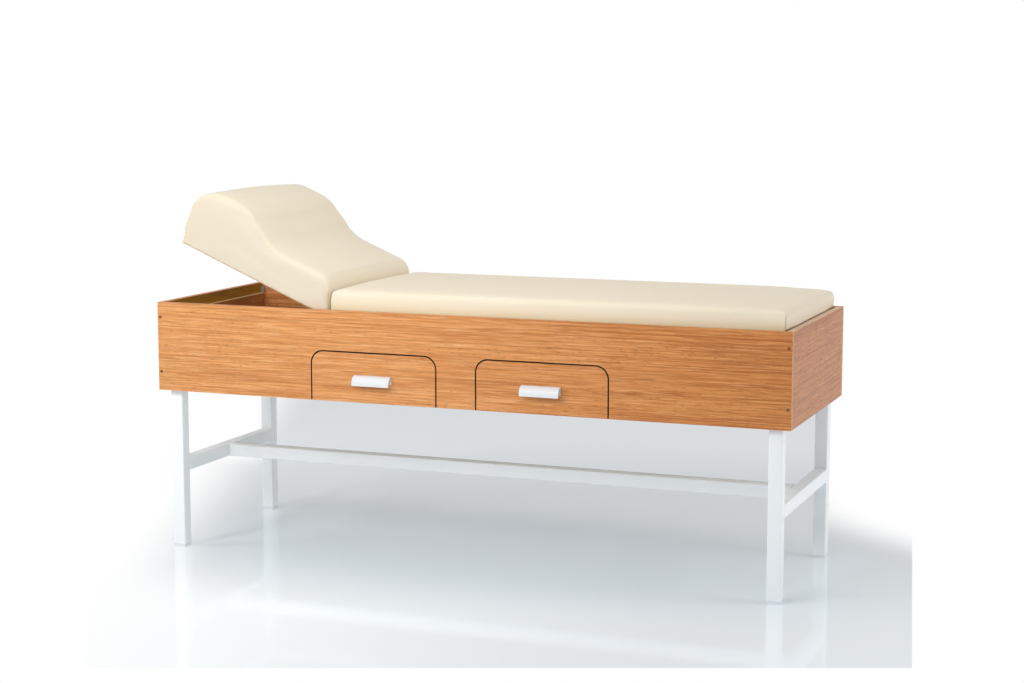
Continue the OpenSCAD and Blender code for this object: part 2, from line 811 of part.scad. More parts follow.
leg(leg_head_x, leg_front_y);  // leg_head_front
leg(leg_head_x, leg_rear_y);  // leg_head_rear
leg(leg_foot_x, leg_front_y);  // leg_foot_front
leg(leg_foot_x, leg_rear_y);  // leg_foot_rear
foot_caps();
end_rail(leg_head_x);  // end_rail_head
end_rail(leg_foot_x);  // end_rail_foot
centre_stretcher();
top_rail_long(leg_front_y);  // top_rail_front
top_rail_long(leg_rear_y);  // top_rail_rear
top_rail_end(leg_head_x);  // top_rail_head
top_rail_end(leg_foot_x);  // top_rail_foot
front_panel();
rear_panel();
end_panel(head_x);  // head_panel
end_panel(in_foot_x);  // foot_panel
floor_board();
side_cleat();  // cleat_front
to_rear() side_cleat();  // cleat_rear
end_cleat(in_head_x);  // cleat_head
end_cleat(in_foot_x - cleat_t);  // cleat_foot
partitions(drawer_xs[0]);  // drawer_1_partitions
partitions(drawer_xs[1]);  // drawer_2_partitions
hinge_rail();
corner_plugs();
corner_screws();
floor_screws();
corner_blocks();
rest_buffers();
body_board();
body_pad();
hinge_leaf_fixed();
hinge_pin();
hinge_leaf_moving();
head_board();
head_pad();
stay_foot();
stay_bracket();
stay_sleeve();
stay_bar();
drawer_front(drawer_xs[0]);  // drawer_1_front
drawer_sides(drawer_xs[0]);  // drawer_1_sides
drawer_back(drawer_xs[0]);  // drawer_1_back
drawer_bottom(drawer_xs[0]);  // drawer_1_bottom
pull(drawer_xs[0]);  // drawer_1_pull
pull_screws(drawer_xs[0]);  // drawer_1_pull_screws
outer_slides(drawer_xs[0]);  // drawer_1_outer_slides
middle_slides(drawer_xs[0]);  // drawer_1_middle_slides
inner_slides(drawer_xs[0]);  // drawer_1_inner_slides
drawer_front(drawer_xs[1]);  // drawer_2_front
drawer_sides(drawer_xs[1]);  // drawer_2_sides
drawer_back(drawer_xs[1]);  // drawer_2_back
drawer_bottom(drawer_xs[1]);  // drawer_2_bottom
pull(drawer_xs[1]);  // drawer_2_pull
pull_screws(drawer_xs[1]);  // drawer_2_pull_screws
outer_slides(drawer_xs[1]);  // drawer_2_outer_slides
middle_slides(drawer_xs[1]);  // drawer_2_middle_slides
inner_slides(drawer_xs[1]);  // drawer_2_inner_slides
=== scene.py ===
# Spa bed with a boxed bamboo cabinet: studio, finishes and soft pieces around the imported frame. Metres.
import json
import math

import bmesh
import bpy
import numpy as np
from mathutils import Euler, Matrix, Vector


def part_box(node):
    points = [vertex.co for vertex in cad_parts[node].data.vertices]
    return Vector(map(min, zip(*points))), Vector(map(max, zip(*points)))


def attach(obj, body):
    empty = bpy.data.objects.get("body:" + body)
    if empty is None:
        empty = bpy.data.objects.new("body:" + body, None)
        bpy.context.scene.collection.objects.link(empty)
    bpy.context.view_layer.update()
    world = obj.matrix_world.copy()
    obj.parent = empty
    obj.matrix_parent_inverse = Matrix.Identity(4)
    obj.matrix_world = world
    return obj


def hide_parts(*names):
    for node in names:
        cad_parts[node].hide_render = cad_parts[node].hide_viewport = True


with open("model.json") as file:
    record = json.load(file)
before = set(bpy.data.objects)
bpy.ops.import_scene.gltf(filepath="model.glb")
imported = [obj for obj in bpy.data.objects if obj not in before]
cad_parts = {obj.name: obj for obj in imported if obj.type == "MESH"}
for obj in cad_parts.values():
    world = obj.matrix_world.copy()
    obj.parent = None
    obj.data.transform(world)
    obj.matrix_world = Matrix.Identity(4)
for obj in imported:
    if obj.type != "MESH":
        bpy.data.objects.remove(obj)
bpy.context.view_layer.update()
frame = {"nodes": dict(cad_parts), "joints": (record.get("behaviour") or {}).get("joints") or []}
nodes = frame["nodes"]
scene = bpy.context.scene
scene.view_settings.view_transform = "Standard"


def span(node, axis):
    """Where a node's box starts and ends along an axis, to a thousandth of a millimetre."""
    i = "XYZ".index(axis)
    return tuple(round(corner[i], 6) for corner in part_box(node))


def middle(node, axis):
    return round(sum(span(node, axis)) / 2, 6)


# Places and sizes that several pieces share
tilt_joint = next(joint for joint in frame["joints"] if joint["name"] == "headrest_tilt")
HINGE = Vector(tilt_joint["pos_m"])
TILT = math.radians(-tilt_joint["range_deg"][0])
MIDDLE_Y = middle("body_pad", "Y")
PAD_HALF = round(span("body_pad", "Y")[1] - MIDDLE_Y, 6)
UNDERSIDE = 0.0016  # of the headrest's board, above the hinge's axis
PLY = 0.012

# Camera: the photograph's viewing angle
camera = bpy.data.objects.new("camera", bpy.data.cameras.new("camera"))
scene.collection.objects.link(camera)
scene.camera = camera
camera.data.lens = 69.98
camera.data.sensor_width = 36
camera.data.clip_end = 60
camera.location = (2.1321, -5.3385, 1.4008)
camera.rotation_euler = Euler((math.radians(82.33), 0, math.radians(21.31)))


# Shader writing

class Value:
    """One value in a finish, which adds and multiplies as a number does."""

    def __init__(self, finish, socket):
        self.finish = finish
        self.socket = socket

    def math(self, operation, *values):
        return self.finish.add("ShaderNodeMath", {"operation": operation}, dict(enumerate(values)))

    def __add__(self, other):
        return self.math("ADD", self, other)

    __radd__ = __add__

    def __mul__(self, other):
        return self.math("MULTIPLY", self, other)

    __rmul__ = __mul__

    def __sub__(self, other):
        return self.math("SUBTRACT", self, other)

    def __rsub__(self, other):
        return self.math("SUBTRACT", other, self)

    def __truediv__(self, other):
        return self.math("DIVIDE", self, other)

    def __pow__(self, other):
        return self.math("POWER", self, other)

    def __abs__(self):
        return self.math("ABSOLUTE", self)

    def wave(self):
        return self.math("SINE", self)

    def most(self, other):
        return self.math("MAXIMUM", self, other)

    def least(self, other):
        return self.math("MINIMUM", self, other)

    def between(self, low, high):
        """0 below low, 1 above high and a smooth rise between them."""
        return self.finish.add("ShaderNodeMapRange", {"interpolation_type": "SMOOTHSTEP"},
                               {"Value": self, "From Min": low, "From Max": high})


class Finish:
    """A node tree in the making, of a material or of the world."""

    def __init__(self, tree):
        self.tree = tree
        tree.nodes.clear()

    def add(self, kind, settings=None, sockets=None, out=0):
        """One node with its settings, then the values or links of its sockets. Gives one of its outputs."""
        node = self.tree.nodes.new(kind)
        for name, value in (settings or {}).items():
            if name == "stops":
                for i, (place, colour) in enumerate(value):
                    stop = node.color_ramp.elements[i] if i < 2 else node.color_ramp.elements.new(place)
                    stop.position = place
                    stop.color = (*colour, 1)
            else:
                setattr(node, name, value)
        for key, value in (sockets or {}).items():
            if isinstance(value, Value):
                self.tree.links.new(value.socket, node.inputs[key])
            else:
                node.inputs[key].default_value = value
        return Value(self, node.outputs[out]) if node.outputs else node

    def place(self):
        return self.add("ShaderNodeTexCoord", out="Object")

    def facing(self):
        """The object's own normal, so that a face keeps its finish when its body turns."""
        return self.add("ShaderNodeTexCoord", out="Normal")

    def parts(self, vector):
        split = self.add("ShaderNodeSeparateXYZ", None, {0: vector}).socket.node
        return [Value(self, out) for out in split.outputs]

    def vector(self, x, y, z):
        return self.add("ShaderNodeCombineXYZ", None, {0: x, 1: y, 2: z})

    def noise(self, vector, scale=1.0, detail=2.0, roughness=0.5):
        return self.add("ShaderNodeTexNoise", {"noise_dimensions": "3D"},
                        {"Vector": vector, "Scale": scale, "Detail": detail, "Roughness": roughness})

    def mix(self, share, first, second, blend="MIX"):
        settings = {"data_type": "RGBA", "blend_type": blend, "clamp_factor": True}
        first = first if isinstance(first, Value) else (*first, 1)
        second = second if isinstance(second, Value) else (*second, 1)
        return self.add("ShaderNodeMix", settings, {0: share, 6: first, 7: second}, out=2)

    def ramp(self, value, *stops):
        return self.add("ShaderNodeValToRGB", {"stops": stops}, {0: value})

    def bump(self, height, depth, strength=1.0, normal=None):
        sockets = {"Height": height, "Distance": depth, "Strength": strength}
        if normal is not None:
            sockets["Normal"] = normal
        return self.add("ShaderNodeBump", None, sockets)

    def surface(self, colour, rough, normal=None, **more):
        sockets = {"Base Color": colour if isinstance(colour, Value) else (*colour, 1), "Roughness": rough}
        if normal is not None:
            sockets["Normal"] = normal
        sockets.update({key.replace("_", " "): value for key, value in more.items()})
        return self.add("ShaderNodeBsdfPrincipled", None, sockets)

    def done(self, shader, kind="ShaderNodeOutputMaterial"):
        self.add(kind, None, {"Surface": shader})


def finish_of(name):
    material = bpy.data.materials.new(name)
    material.use_nodes = True
    return material, Finish(material.node_tree)


def ray(f, kind):
    return Value(f, f.add("ShaderNodeLightPath").socket.node.outputs[f"Is {kind} Ray"])


def seen_ray(f, shine=1.0):
    """1 for rays from the eye or through glass, which meet the white studio, and shine for those off
    gloss."""
    return ray(f, "Camera").most(ray(f, "Glossy") * shine).most(ray(f, "Transmission"))


# Finishes

def drawer_outline(f, x, z):
    """Distance to the middle of the gap round the nearer drawer front, in the front panel's plane."""
    gap, corner_radius = 0.0025, 0.0355
    start, end = span("drawer_2_front", "X")
    top = span("drawer_2_front", "Z")[1] + gap / 2
    half, radius = (end - start + gap) / 2, corner_radius + gap / 2
    right = abs(abs(x) - (start + end) / 2) - (half - radius)
    up = z - (top - radius)
    corner = (right.most(0) ** 2 + up.most(0) ** 2) ** 0.5 - radius
    inside = right.most(up)
    return abs(corner + inside.least(0))


def shaded(colour, shade):
    return tuple(c * shade for c in colour)


def bamboo(name, run, shade=1.0, inner=0, inner_light_and_shade=(0.85, 0.90, 0.75), tint=(1, 1, 1), cut=False, plug=False,
           highlight_height=None, top_highlight=None):
    """Strand bamboo, oiled satin. The strands run along run, and the faces across it show their ends.
    inner is the direction, 1 or -1, in which a panel looks into the cabinet, where its face gets painted
    light and shade: brighter and bluer inside the rear panel, darker and olive inside the head panel, a
    little darker in the others.
    arris is the height of a rail's top edge, which gets a painted highlight; rim is the colour of a painted
    highlight on a panel's top face."""
    material, f = finish_of(name)
    x, y, z = f.parts(f.place())
    nx, ny, nz = f.parts(f.facing())
    along, side, facing, inward = (x, y, nx, ny) if run == "X" else (y, x, ny, nx)
    sway = f.noise(f.vector(along * 2.3, side * 4, z * 4), 1, 2) - 0.5
    wander = f.noise(f.vector(along * 19, side * 9, z * 60), 1, 1) - 0.5
    height = z + sway * 0.005 + wander * 0.0007
    fine = f.noise(f.vector(along * 9, side * 120, height * 330), 1, 3, 0.6)
    strand = f.noise(f.vector(along * 4, side * 60, height * 190), 1, 2, 0.6)
    cloud = f.noise(f.vector(along * 1.1, side * 6, height * 15), 1, 2, 0.5)
    line = f.noise(f.vector(along * 1.7 + 5, side * 90, height * 300), 1, 1).between(0.54, 0.62)
    pale = f.noise(f.vector(along * 12 + 40, side * 130, height * 300), 1, 1).between(0.56, 0.61)
    dark = f.noise(f.vector(along * 13 - 17, side * 120, height * 330), 1, 1).between(0.58, 0.63)
    dash = f.noise(f.vector(along * 45, side * 210, height * 400 + 9), 1, 1).between(0.645, 0.695)
    tone = fine.between(0.28, 0.72) * 0.34 + strand.between(0.28, 0.72) * 0.20 + cloud * 0.26 + 0.10
    deep = cloud.between(0.2, 0.8)
    # painted sheen: the streaks are fainter towards the head end and stronger towards the foot end
    sheen_fade_to_foot = x.between(-0.4, 0.9)
    wood = f.ramp(tone,
                  (0.16, shaded((0.44, 0.143, 0.036), shade)),
                  (0.40, shaded((0.60, 0.226, 0.062), shade)),
                  (0.60, shaded((0.69, 0.283, 0.086), shade)),
                  (0.86, shaded((0.80, 0.38, 0.140), shade)))
    for share, colour in ((pale * 0.26, (0.86, 0.47, 0.21)),
                          (line * (sheen_fade_to_foot * 0.20 + 0.34), (0.40, 0.125, 0.030)),
                          (dark * (sheen_fade_to_foot * 0.28 + 0.24), (0.39, 0.118, 0.027)),
                          (dash * 0.62 * deep, (0.19, 0.052, 0.013))):
        wood = f.mix(share, wood, shaded(colour, shade))
    # strand ends: small lenses of pale and brown fibre, packed flat
    grit = f.noise(f.vector(side * 380, along * 380, z * 560), 1, 3, 0.65)
    lens = f.noise(f.vector(side * 85, along * 85, z * 190), 1, 2, 0.5)
    ends = f.ramp(grit * 0.65 + lens * 0.5 - 0.08,
                  (0.26, shaded((0.34, 0.135, 0.055), shade)),
                  (0.50, shaded((0.62, 0.30, 0.135), shade)),
                  (0.78, shaded((0.78, 0.45, 0.25), shade)))
    if run == "X":
        # painted light and sheen: paler and bluer towards the head end, painted shade deeper and redder
        # towards the foot end
        drift = f.mix(x.between(-0.5, 1.0), (1.06, 1.165, 1.36), (0.92, 0.87, 0.79))
        wood = f.mix(1.0, wood, drift, "MULTIPLY")
    across = abs(facing).between(0.62, 0.78)
    colour = f.mix(across, wood, ends)
    colour = f.mix(1.0, colour, tint, "MULTIPLY")
    # painted light and shade on the face that looks into the cabinet
    if inner:
        colour = f.mix((inward * inner).between(0.5, 0.7), colour, f.mix(1.0, colour, inner_light_and_shade, "MULTIPLY"))
    if highlight_height is not None:
        # painted highlight: a pale band along the rail's top edge
        colour = f.mix(z.between(highlight_height - 0.0014, highlight_height - 0.0004), colour, (0.95, 0.70, 0.34))
    if plug:
        # glue line round each plug
        plug_x, plug_rise = 0.941, 0.08075
        off_x, off_z = abs(x) - plug_x, abs(z - middle("corner_plugs", "Z")) - plug_rise
        ring = ((off_x ** 2 + off_z ** 2) ** 0.5).between(0.0026, 0.0042)
        colour = f.mix(1.0, colour, (0.62, 0.40, 0.22), "MULTIPLY")
        colour = f.mix(ring * 0.7, colour, (0.16, 0.056, 0.018))
    if cut:
        # painted shade: the walls and edge of the saw cut round the drawer fronts are painted near black, for
        # the shade in the gap
        panel_low, fronts_top, fronts_end = (0.4751, 0.4753), (0.624, 0.626), (0.50, 0.51)
        wall = (1 - abs(ny).between(0.3, 0.6)) * z.between(*panel_low) * (1 - z.between(*fronts_top))
        wall = wall * (1 - abs(x).between(*fronts_end))
        edge = 1 - drawer_outline(f, x, z).between(0.0017, 0.0026)
        gap = (wall + edge).between(0.1, 0.9)
        colour = f.mix(gap * 0.97, colour, (0.020, 0.008, 0.0035))
    relief = fine * 0.6 + dash * -0.9 + dark * -0.35
    relief = relief * (1 - across) + grit * across
    rough = 0.42 + (fine - 0.5) * 0.16 + across * 0.14
    if cut:
        rough = rough + gap * 0.5
    if top_highlight is not None:
        # painted highlight on the top face
        colour = f.mix(nz.between(0.5, 0.7) * 0.55, colour, top_highlight)
    f.done(f.surface(colour, rough, f.bump(relief, 0.0002, 0.5), Specular_IOR_Level=0.30))
    return material


def plywood(name, thick, low, sheet, turn=0.0, centre=(0, 0, 0), layers=7, tint=(1, 1, 1)):
    """Birch plywood, its layers on the edges. thick is the axis across the sheet, which starts at low."""
    def tinted(*colour):
        return tuple(c * t for c, t in zip(colour, tint))

    material, f = finish_of(name)
    place, facing = f.place(), f.facing()
    if turn:
        place = f.add("ShaderNodeVectorRotate", {"rotation_type": "Y_AXIS"},
                      {"Vector": place, "Center": centre, "Angle": turn})
        facing = f.add("ShaderNodeVectorRotate", {"rotation_type": "Y_AXIS"},
                       {"Vector": facing, "Angle": turn})
    spots, turns = f.parts(place), f.parts(facing)
    across, up = spots["XYZ".index(thick)], turns["XYZ".index(thick)]
    one, two = [spots[i] for i in range(3) if i != "XYZ".index(thick)]
    grain = f.noise(f.vector(one * 5, two * 90, across * 40), 1, 4, 0.62)
    flame = f.noise(f.vector(one * 1.3, two * 8, across * 9), 1, 2)
    pore = f.noise(f.vector(one * 60, two * 900, across * 50), 1, 1).between(0.60, 0.74)
    face = f.ramp(grain * 0.6 + flame * 0.5 - 0.05,
                  (0.25, tinted(0.50, 0.34, 0.18)),
                  (0.75, tinted(0.74, 0.58, 0.38)))
    face = f.mix(pore * 0.4, face, tinted(0.36, 0.22, 0.11))
    ply = ((across - low) / sheet * (layers * math.pi)).wave()
    fibre = f.noise(f.vector(one * 240, two * 240, across * 1400), 1, 2)
    edge = f.mix(ply.between(-0.5, 0.5) * 0.75 + fibre * 0.3 - 0.1,
                 tinted(0.34, 0.20, 0.10), tinted(0.72, 0.55, 0.34))
    shows = 1 - abs(up).between(0.6, 0.8)
    colour = f.mix(shows, face, edge)
    relief = grain * 0.5 - pore * 0.5 + fibre * shows
    rough = 0.58 + (grain - 0.5) * 0.2
    f.done(f.surface(colour, rough, f.bump(relief, 0.0003, 0.5), Specular_IOR_Level=0.35))
    return material


def powder_coat(name, colour, rear_edge_shade=False):
    """White powder coat: a fine orange peel, a little dust low down and a soft gloss.
    seam paints shade as a dark line along the rear of the tube's top face."""
    material, f = finish_of(name)
    place = f.place()
    _, y, z = f.parts(place)
    peel = f.noise(place, 620, 2, 0.5)
    drift = f.noise(place, 7, 3)
    dust = f.noise(place, 60, 4, 0.7).between(0.5, 0.8) * (1 - z.between(0.0, 0.16))
    tone = f.mix(drift, [c * 0.975 for c in colour], colour)
    tone = f.mix(dust * 0.18, tone, (0.62, 0.62, 0.60))
    if rear_edge_shade:
        # painted shade: a dark line along the rear edge of the stretcher's top face
        rear_strip, tube_top = (0.0205, 0.0225), (0.2640, 0.2646)
        line = y.between(*rear_strip) * z.between(*tube_top)
        tone = f.mix(line * 0.8, tone, (0.27, 0.29, 0.31))
    rough = 0.30 + drift * 0.10 + dust * 0.2
    f.done(f.surface(tone, rough, f.bump(peel, 0.00012, 0.5), Specular_IOR_Level=0.5))
    return material


def moulded(name, colour, lines=(), rough=0.42):
    """Moulded plastic with a spark-eroded skin. lines are the heights of dark lines painted as the shade in a
    joint's groove.
    """
    material, f = finish_of(name)
    place = f.place()
    z = f.parts(place)[2]
    skin = f.noise(place, 900, 2, 0.6)
    drift = f.noise(place, 22, 3)
    tone = f.mix(drift, [c * 0.93 for c in colour], colour)
    for level in lines:
        # painted shade in the groove where the cap meets the tube
        line = 1 - abs(z - level).between(0.0004, 0.0011)
        tone = f.mix(line * 0.75, tone, [c * 0.32 for c in colour])
    f.done(f.surface(tone, rough + (skin - 0.5) * 0.15, f.bump(skin, 0.00008, 0.6)))
    return material


def zinc(name, colour=(0.60, 0.61, 0.62), brush=(1, 1, 1), rough=0.36):
    """Bright zinc on steel: brushed, with a faint spangle and duller patches."""
    material, f = finish_of(name)
    place = f.place()
    x, y, z = f.parts(place)
    hair = f.noise(f.vector(x * brush[0] * 900, y * brush[1] * 900, z * brush[2] * 900), 1, 2, 0.6)
    spangle = f.add("ShaderNodeTexVoronoi", {"feature": "F1"}, {"Vector": place, "Scale": 160})
    cloud = f.noise(place, 35, 3)
    tone = f.mix(cloud * 0.6 + spangle * 0.5, [c * 0.80 for c in colour], colour)
    tone = f.mix(hair.between(0.35, 0.75) * 0.25, tone, [c * 0.62 for c in colour])
    gloss = rough + (cloud - 0.5) * 0.2 + (hair - 0.5) * 0.18
    f.done(f.surface(tone, gloss, f.bump(hair, 0.00005, 0.4), Metallic=0.92))
    return material


def rubber(name):
    material, f = finish_of(name)
    place = f.place()
    grain = f.noise(place, 700, 3, 0.6)
    bloom = f.noise(place, 40, 3)
    tone = f.mix(bloom, (0.018, 0.018, 0.018), (0.045, 0.044, 0.042))
    f.done(f.surface(tone, 0.62 + (grain - 0.5) * 0.2, f.bump(grain, 0.0002, 0.6), Specular_IOR_Level=0.35))
    return material


def vinyl(name, folded=False):
    """Cream coated fabric: fine leather grain, slight mottling and a soft sheen. folded draws the flat pad's
    corner folds with painted shade along them, a painted shadow line along its foot end and painted olive
    shade and warm bounce low on its sides."""
    material, f = finish_of(name)
    place = f.place()
    cell = f.add("ShaderNodeTexVoronoi", {"feature": "DISTANCE_TO_EDGE"}, {"Vector": place, "Scale": 520})
    crease = cell.between(0.0, 0.16)
    pebble = f.noise(place, 1100, 2, 0.55)
    drift = f.noise(place, 5.5, 3, 0.5)
    tone = f.mix(drift, (0.826, 0.720, 0.549), (0.846, 0.743, 0.580))
    # painted shade: the grain's creases are a little darker
    tone = f.mix((1 - crease) * 0.08, tone, (0.60, 0.48, 0.32))
    normal = f.bump(crease * 0.6 + pebble * 0.5, 0.00012, 0.5)
    if folded:
        x, y, z = f.parts(place)
        nx, ny, nz = f.parts(f.facing())
        side, end = abs(ny).between(0.6, 0.8), nx.between(0.5, 0.7)
        low_shade_top, shadow_line_top, fold_top, fold_x = (0.735, 0.757), (0.7365, 0.7392), (0.768, 0.779), 0.9245
        # painted shade and warm bounce: olive low on the sides, just above the rim
        tone = f.mix((1 - z.between(*low_shade_top)) * side * 0.5, tone, (0.73, 0.635, 0.36))
        # painted shadow: a dark band low on the foot end, for the gap against the foot rim
        tone = f.mix((1 - z.between(*shadow_line_top)) * end * 0.9, tone, (0.26, 0.16, 0.08))
        low = 1 - z.between(*fold_top)
        fold_shade = (1 - abs(x - fold_x).between(0.0006, 0.0018)) * low * abs(ny).between(0.2, 0.4)
        # painted shade along the corner fold; the bump below gives the fold its real step
        tone = f.mix(fold_shade * 0.6, tone, (0.36, 0.26, 0.12))
        normal = f.bump(x.between(fold_x - 0.001, fold_x + 0.001) * low, 0.0012, 1.0, normal)
    else:
        # painted shade: the bolster's cover is darker where it stands upright
        upright = abs(f.parts(f.facing())[1]).between(0.35, 0.95)
        tone = f.mix(upright, tone, f.mix(1.0, tone, (0.85, 0.85, 0.865), "MULTIPLY"))
    rough = 0.46 + (drift - 0.5) * 0.08 + (1 - crease) * 0.08
    f.done(f.surface(tone, rough, normal, Specular_IOR_Level=0.46))
    return material


def put(material, *names):
    for name in names:
        for place in nodes[name].material_slots:
            place.material = material


def ply(node, thick, sheet=PLY, **more):
    """Puts plywood on a node whose sheet, or first sheet, starts where its box does."""
    put(plywood(f"ply_{node}", thick, span(node, thick)[0], sheet, **more), node)


put(bamboo("bamboo_front", "X", inner=1, cut=True), "front_panel", "drawer_1_front", "drawer_2_front")
# painted light: the rear panel's inside face is brighter and bluer
put(bamboo("bamboo_rear", "X", inner=-1, inner_light_and_shade=(1.35, 1.5, 2.1)), "rear_panel")
put(bamboo("bamboo_plug", "Y", 0.62, plug=True), "corner_plugs")
# painted shade: the head panel's inside face is darker and olive
put(bamboo("bamboo_head", "Y", inner=1, inner_light_and_shade=(0.70, 0.85, 0.16)), "head_panel")
# tint: painted shade and a cool painted sheen that darken and blue the foot panel's outer face
put(bamboo("bamboo_foot", "Y", inner=-1, tint=(0.79, 0.765, 0.95), top_highlight=(0.86, 0.70, 0.52)), "foot_panel")
# shade 1.4: painted light, making the cleats inside the cabinet paler
put(bamboo("bamboo_rail", "X", 1.4), "cleat_front", "cleat_rear")
put(bamboo("bamboo_rail_cross", "Y", 0.85, highlight_height=0.703), "cleat_head", "cleat_foot", "hinge_rail")

ply("body_board", "Z")
put(plywood("ply_head_board", "Z", HINGE.z + UNDERSIDE, PLY, turn=TILT, centre=HINGE), "head_board")
ply("floor_board", "Z", 0.009, layers=5, tint=(0.85, 0.97, 1.25))
for i in (1, 2):
    ply(f"drawer_{i}_sides", "X")
    ply(f"drawer_{i}_back", "Y")
    ply(f"drawer_{i}_bottom", "Z", PLY / 2, layers=3)
    ply(f"drawer_{i}_partitions", "X")

coat_white = powder_coat("coat_white", (0.92, 0.945, 0.96))
put(coat_white, *(n for n in nodes if n.startswith(("leg_", "top_rail_", "end_rail_"))))
# the stretcher's coat is a paler copy of the white coat: painted light for the shade under the cabinet
put(powder_coat("coat_stretcher_lit", (0.94, 0.96, 0.97), rear_edge_shade=True), "centre_stretcher")
put(powder_coat("coat_pull", (0.76, 0.77, 0.785)), "drawer_1_pull", "drawer_2_pull")
put(moulded("cap_white", (0.84, 0.87, 0.89), lines=(0.0082,)), "foot_caps")
put(moulded("block_grey", (0.52, 0.52, 0.50), rough=0.55), "corner_blocks")
put(rubber("rubber_black"), "rest_buffers")
put(zinc("zinc_long", brush=(1, 0.03, 1)), "hinge_leaf_fixed", "hinge_leaf_moving", "hinge_pin",
    *(n for n in nodes if n.endswith("slides")))
put(zinc("zinc_stay", brush=(0.2, 1, 0.2)), "stay_bar", "stay_bracket", "stay_foot", "stay_sleeve")
put(zinc("zinc_screw", (0.66, 0.67, 0.68), rough=0.30), "corner_screws", "floor_screws",
    "drawer_1_pull_screws", "drawer_2_pull_screws")


# Mesh helpers

def link(name, mesh):
    thing = bpy.data.objects.new(name, mesh)
    scene.collection.objects.link(thing)
    return thing


def settle(thing):
    """Puts what the modifiers make into the mesh and takes them off."""
    graph = bpy.context.evaluated_depsgraph_get()
    mesh = bpy.data.meshes.new_from_object(thing.evaluated_get(graph), depsgraph=graph)
    thing.modifiers.clear()
    thing.data = mesh


def points_of(mesh):
    spots = np.empty(len(mesh.vertices) * 3)
    mesh.vertices.foreach_get("co", spots)
    return spots.reshape(-1, 3)


def place_points(mesh, spots):
    mesh.vertices.foreach_set("co", np.ascontiguousarray(spots).ravel())
    mesh.update()


def smooth(mesh):
    mesh.polygons.foreach_set("use_smooth", [True] * len(mesh.polygons))
    mesh.update()


def give(thing, body, material):
    thing.data.materials.clear()
    thing.data.materials.append(material)
    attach(thing, body)


# Cushions

def cushion(name, node, body, material, swell, held, shape, board=None):
    """The pad as stretched vinyl over foam, swollen by a cloth simulation and by swell at most.
    held gives the share by which a point may move, 0 where it is stuck down.
    shape trims the foam before it is covered, and board is the sheet that it is wrapped round."""
    voxel, shrink, steps = 0.006, 0.0012, 20
    mesh = nodes[node].data.copy()
    form = bmesh.new()
    form.from_mesh(mesh)
    if board is not None:
        form.from_mesh(nodes[board].data)
    bmesh.ops.remove_doubles(form, verts=form.verts, dist=1e-5)
    bmesh.ops.recalc_face_normals(form, faces=form.faces)
    form.to_mesh(mesh)
    form.free()
    thing = link(name, mesh)
    remesh = thing.modifiers.new("remesh", "REMESH")
    remesh.mode = "VOXEL"
    remesh.voxel_size = voxel
    soften = thing.modifiers.new("soften", "SMOOTH")
    soften.factor = 0.5
    soften.iterations = 2
    settle(thing)
    start = shape(points_of(thing.data))
    place_points(thing.data, start)
    free = held(start)
    # foam is cut a little small, so the skin swells back to size
    normals = np.empty(len(start) * 3)
    thing.data.vertices.foreach_get("normal", normals)
    normals = normals.reshape(-1, 3)
    first = start - normals * (shrink * free)[:, None]
    place_points(thing.data, first)
    thing.vertex_groups.new(name="stuck")
    stuck = [int(i) for i in np.nonzero(free < 0.02)[0]]
    thing.vertex_groups["stuck"].add(stuck, 1.0, "REPLACE")
    cloth = thing.modifiers.new("skin", "CLOTH")
    cloth.settings.quality = 4
    cloth.settings.mass = 0.3
    cloth.settings.tension_stiffness = 15
    cloth.settings.compression_stiffness = 15
    cloth.settings.bending_stiffness = 1.5
    cloth.settings.use_pressure = True
    cloth.settings.uniform_pressure_force = 4
    cloth.settings.effector_weights.gravity = 0
    cloth.settings.vertex_group_mass = "stuck"
    for step in range(1, steps + 1):
        scene.frame_set(step)
    graph = bpy.context.evaluated_depsgraph_get()
    swollen = thing.evaluated_get(graph)
    shown = swollen.to_mesh()
    after = points_of(shown)
    swollen.to_mesh_clear()
    thing.modifiers.clear()
    scene.frame_set(1)
    move = after - first
    length = np.maximum(np.linalg.norm(move, axis=1), 1e-9)
    cap = swell * free
    move *= (cap * np.tanh(length / np.maximum(cap, 1e-6)) / length)[:, None]
    place_points(thing.data, first + move)
    thing.vertex_groups.clear()
    ease = thing.modifiers.new("ease", "SMOOTH")
    ease.factor = 0.5
    ease.iterations = 5
    settle(thing)
    finer = thing.modifiers.new("finer", "SUBSURF")
    finer.levels = finer.render_levels = 1
    settle(thing)
    smooth(thing.data)
    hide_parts(node)
    give(thing, body, material)


def rise(values, low, high):
    t = np.clip((values - low) / (high - low), 0, 1)
    return t * t * (3 - 2 * t)


def body_held(spots):
    """The underside lies flat on its board."""
    return rise(spots[:, 2], 0.712, 0.732)


def tight_edges(spots):
    """The vinyl is pulled tight over the long edges, so they turn in a smaller radius than the cut foam."""
    wide, high, top, tight = 0.030, 0.022, 0.7905, 3.6
    spots = spots.copy()
    out = np.abs(spots[:, 1] - MIDDLE_Y) - (PAD_HALF - wide)
    up = spots[:, 2] - (top - high)
    across, over = np.clip(out / wide, 0, 1.2), np.clip(up / high, 0, 1.2)
    edge = (across > 0) & (over > 0)
    p, q = across[edge], over[edge]
    grow = np.hypot(p, q) / (p ** tight + q ** tight) ** (1 / tight)
    spots[edge, 1] = MIDDLE_Y + np.sign(spots[edge, 1] - MIDDLE_Y) * (PAD_HALF - wide + wide * p * grow)
    spots[edge, 2] = top - high + high * q * grow
    return spots


def head_frame(spots):
    """Points in the headrest's own frame: u from the hinge's axis to the head end, w up across its board."""
    dx, dz = spots[:, 0] - HINGE.x, spots[:, 2] - HINGE.z
    u = -dx * math.cos(TILT) + dz * math.sin(TILT)
    w = dx * math.sin(TILT) + dz * math.cos(TILT)
    return u, w


def head_x(u, w):
    return HINGE.x - u * math.cos(TILT) + w * math.sin(TILT)


def head_z(u, w):
    return HINGE.z + u * math.sin(TILT) + w * math.cos(TILT)


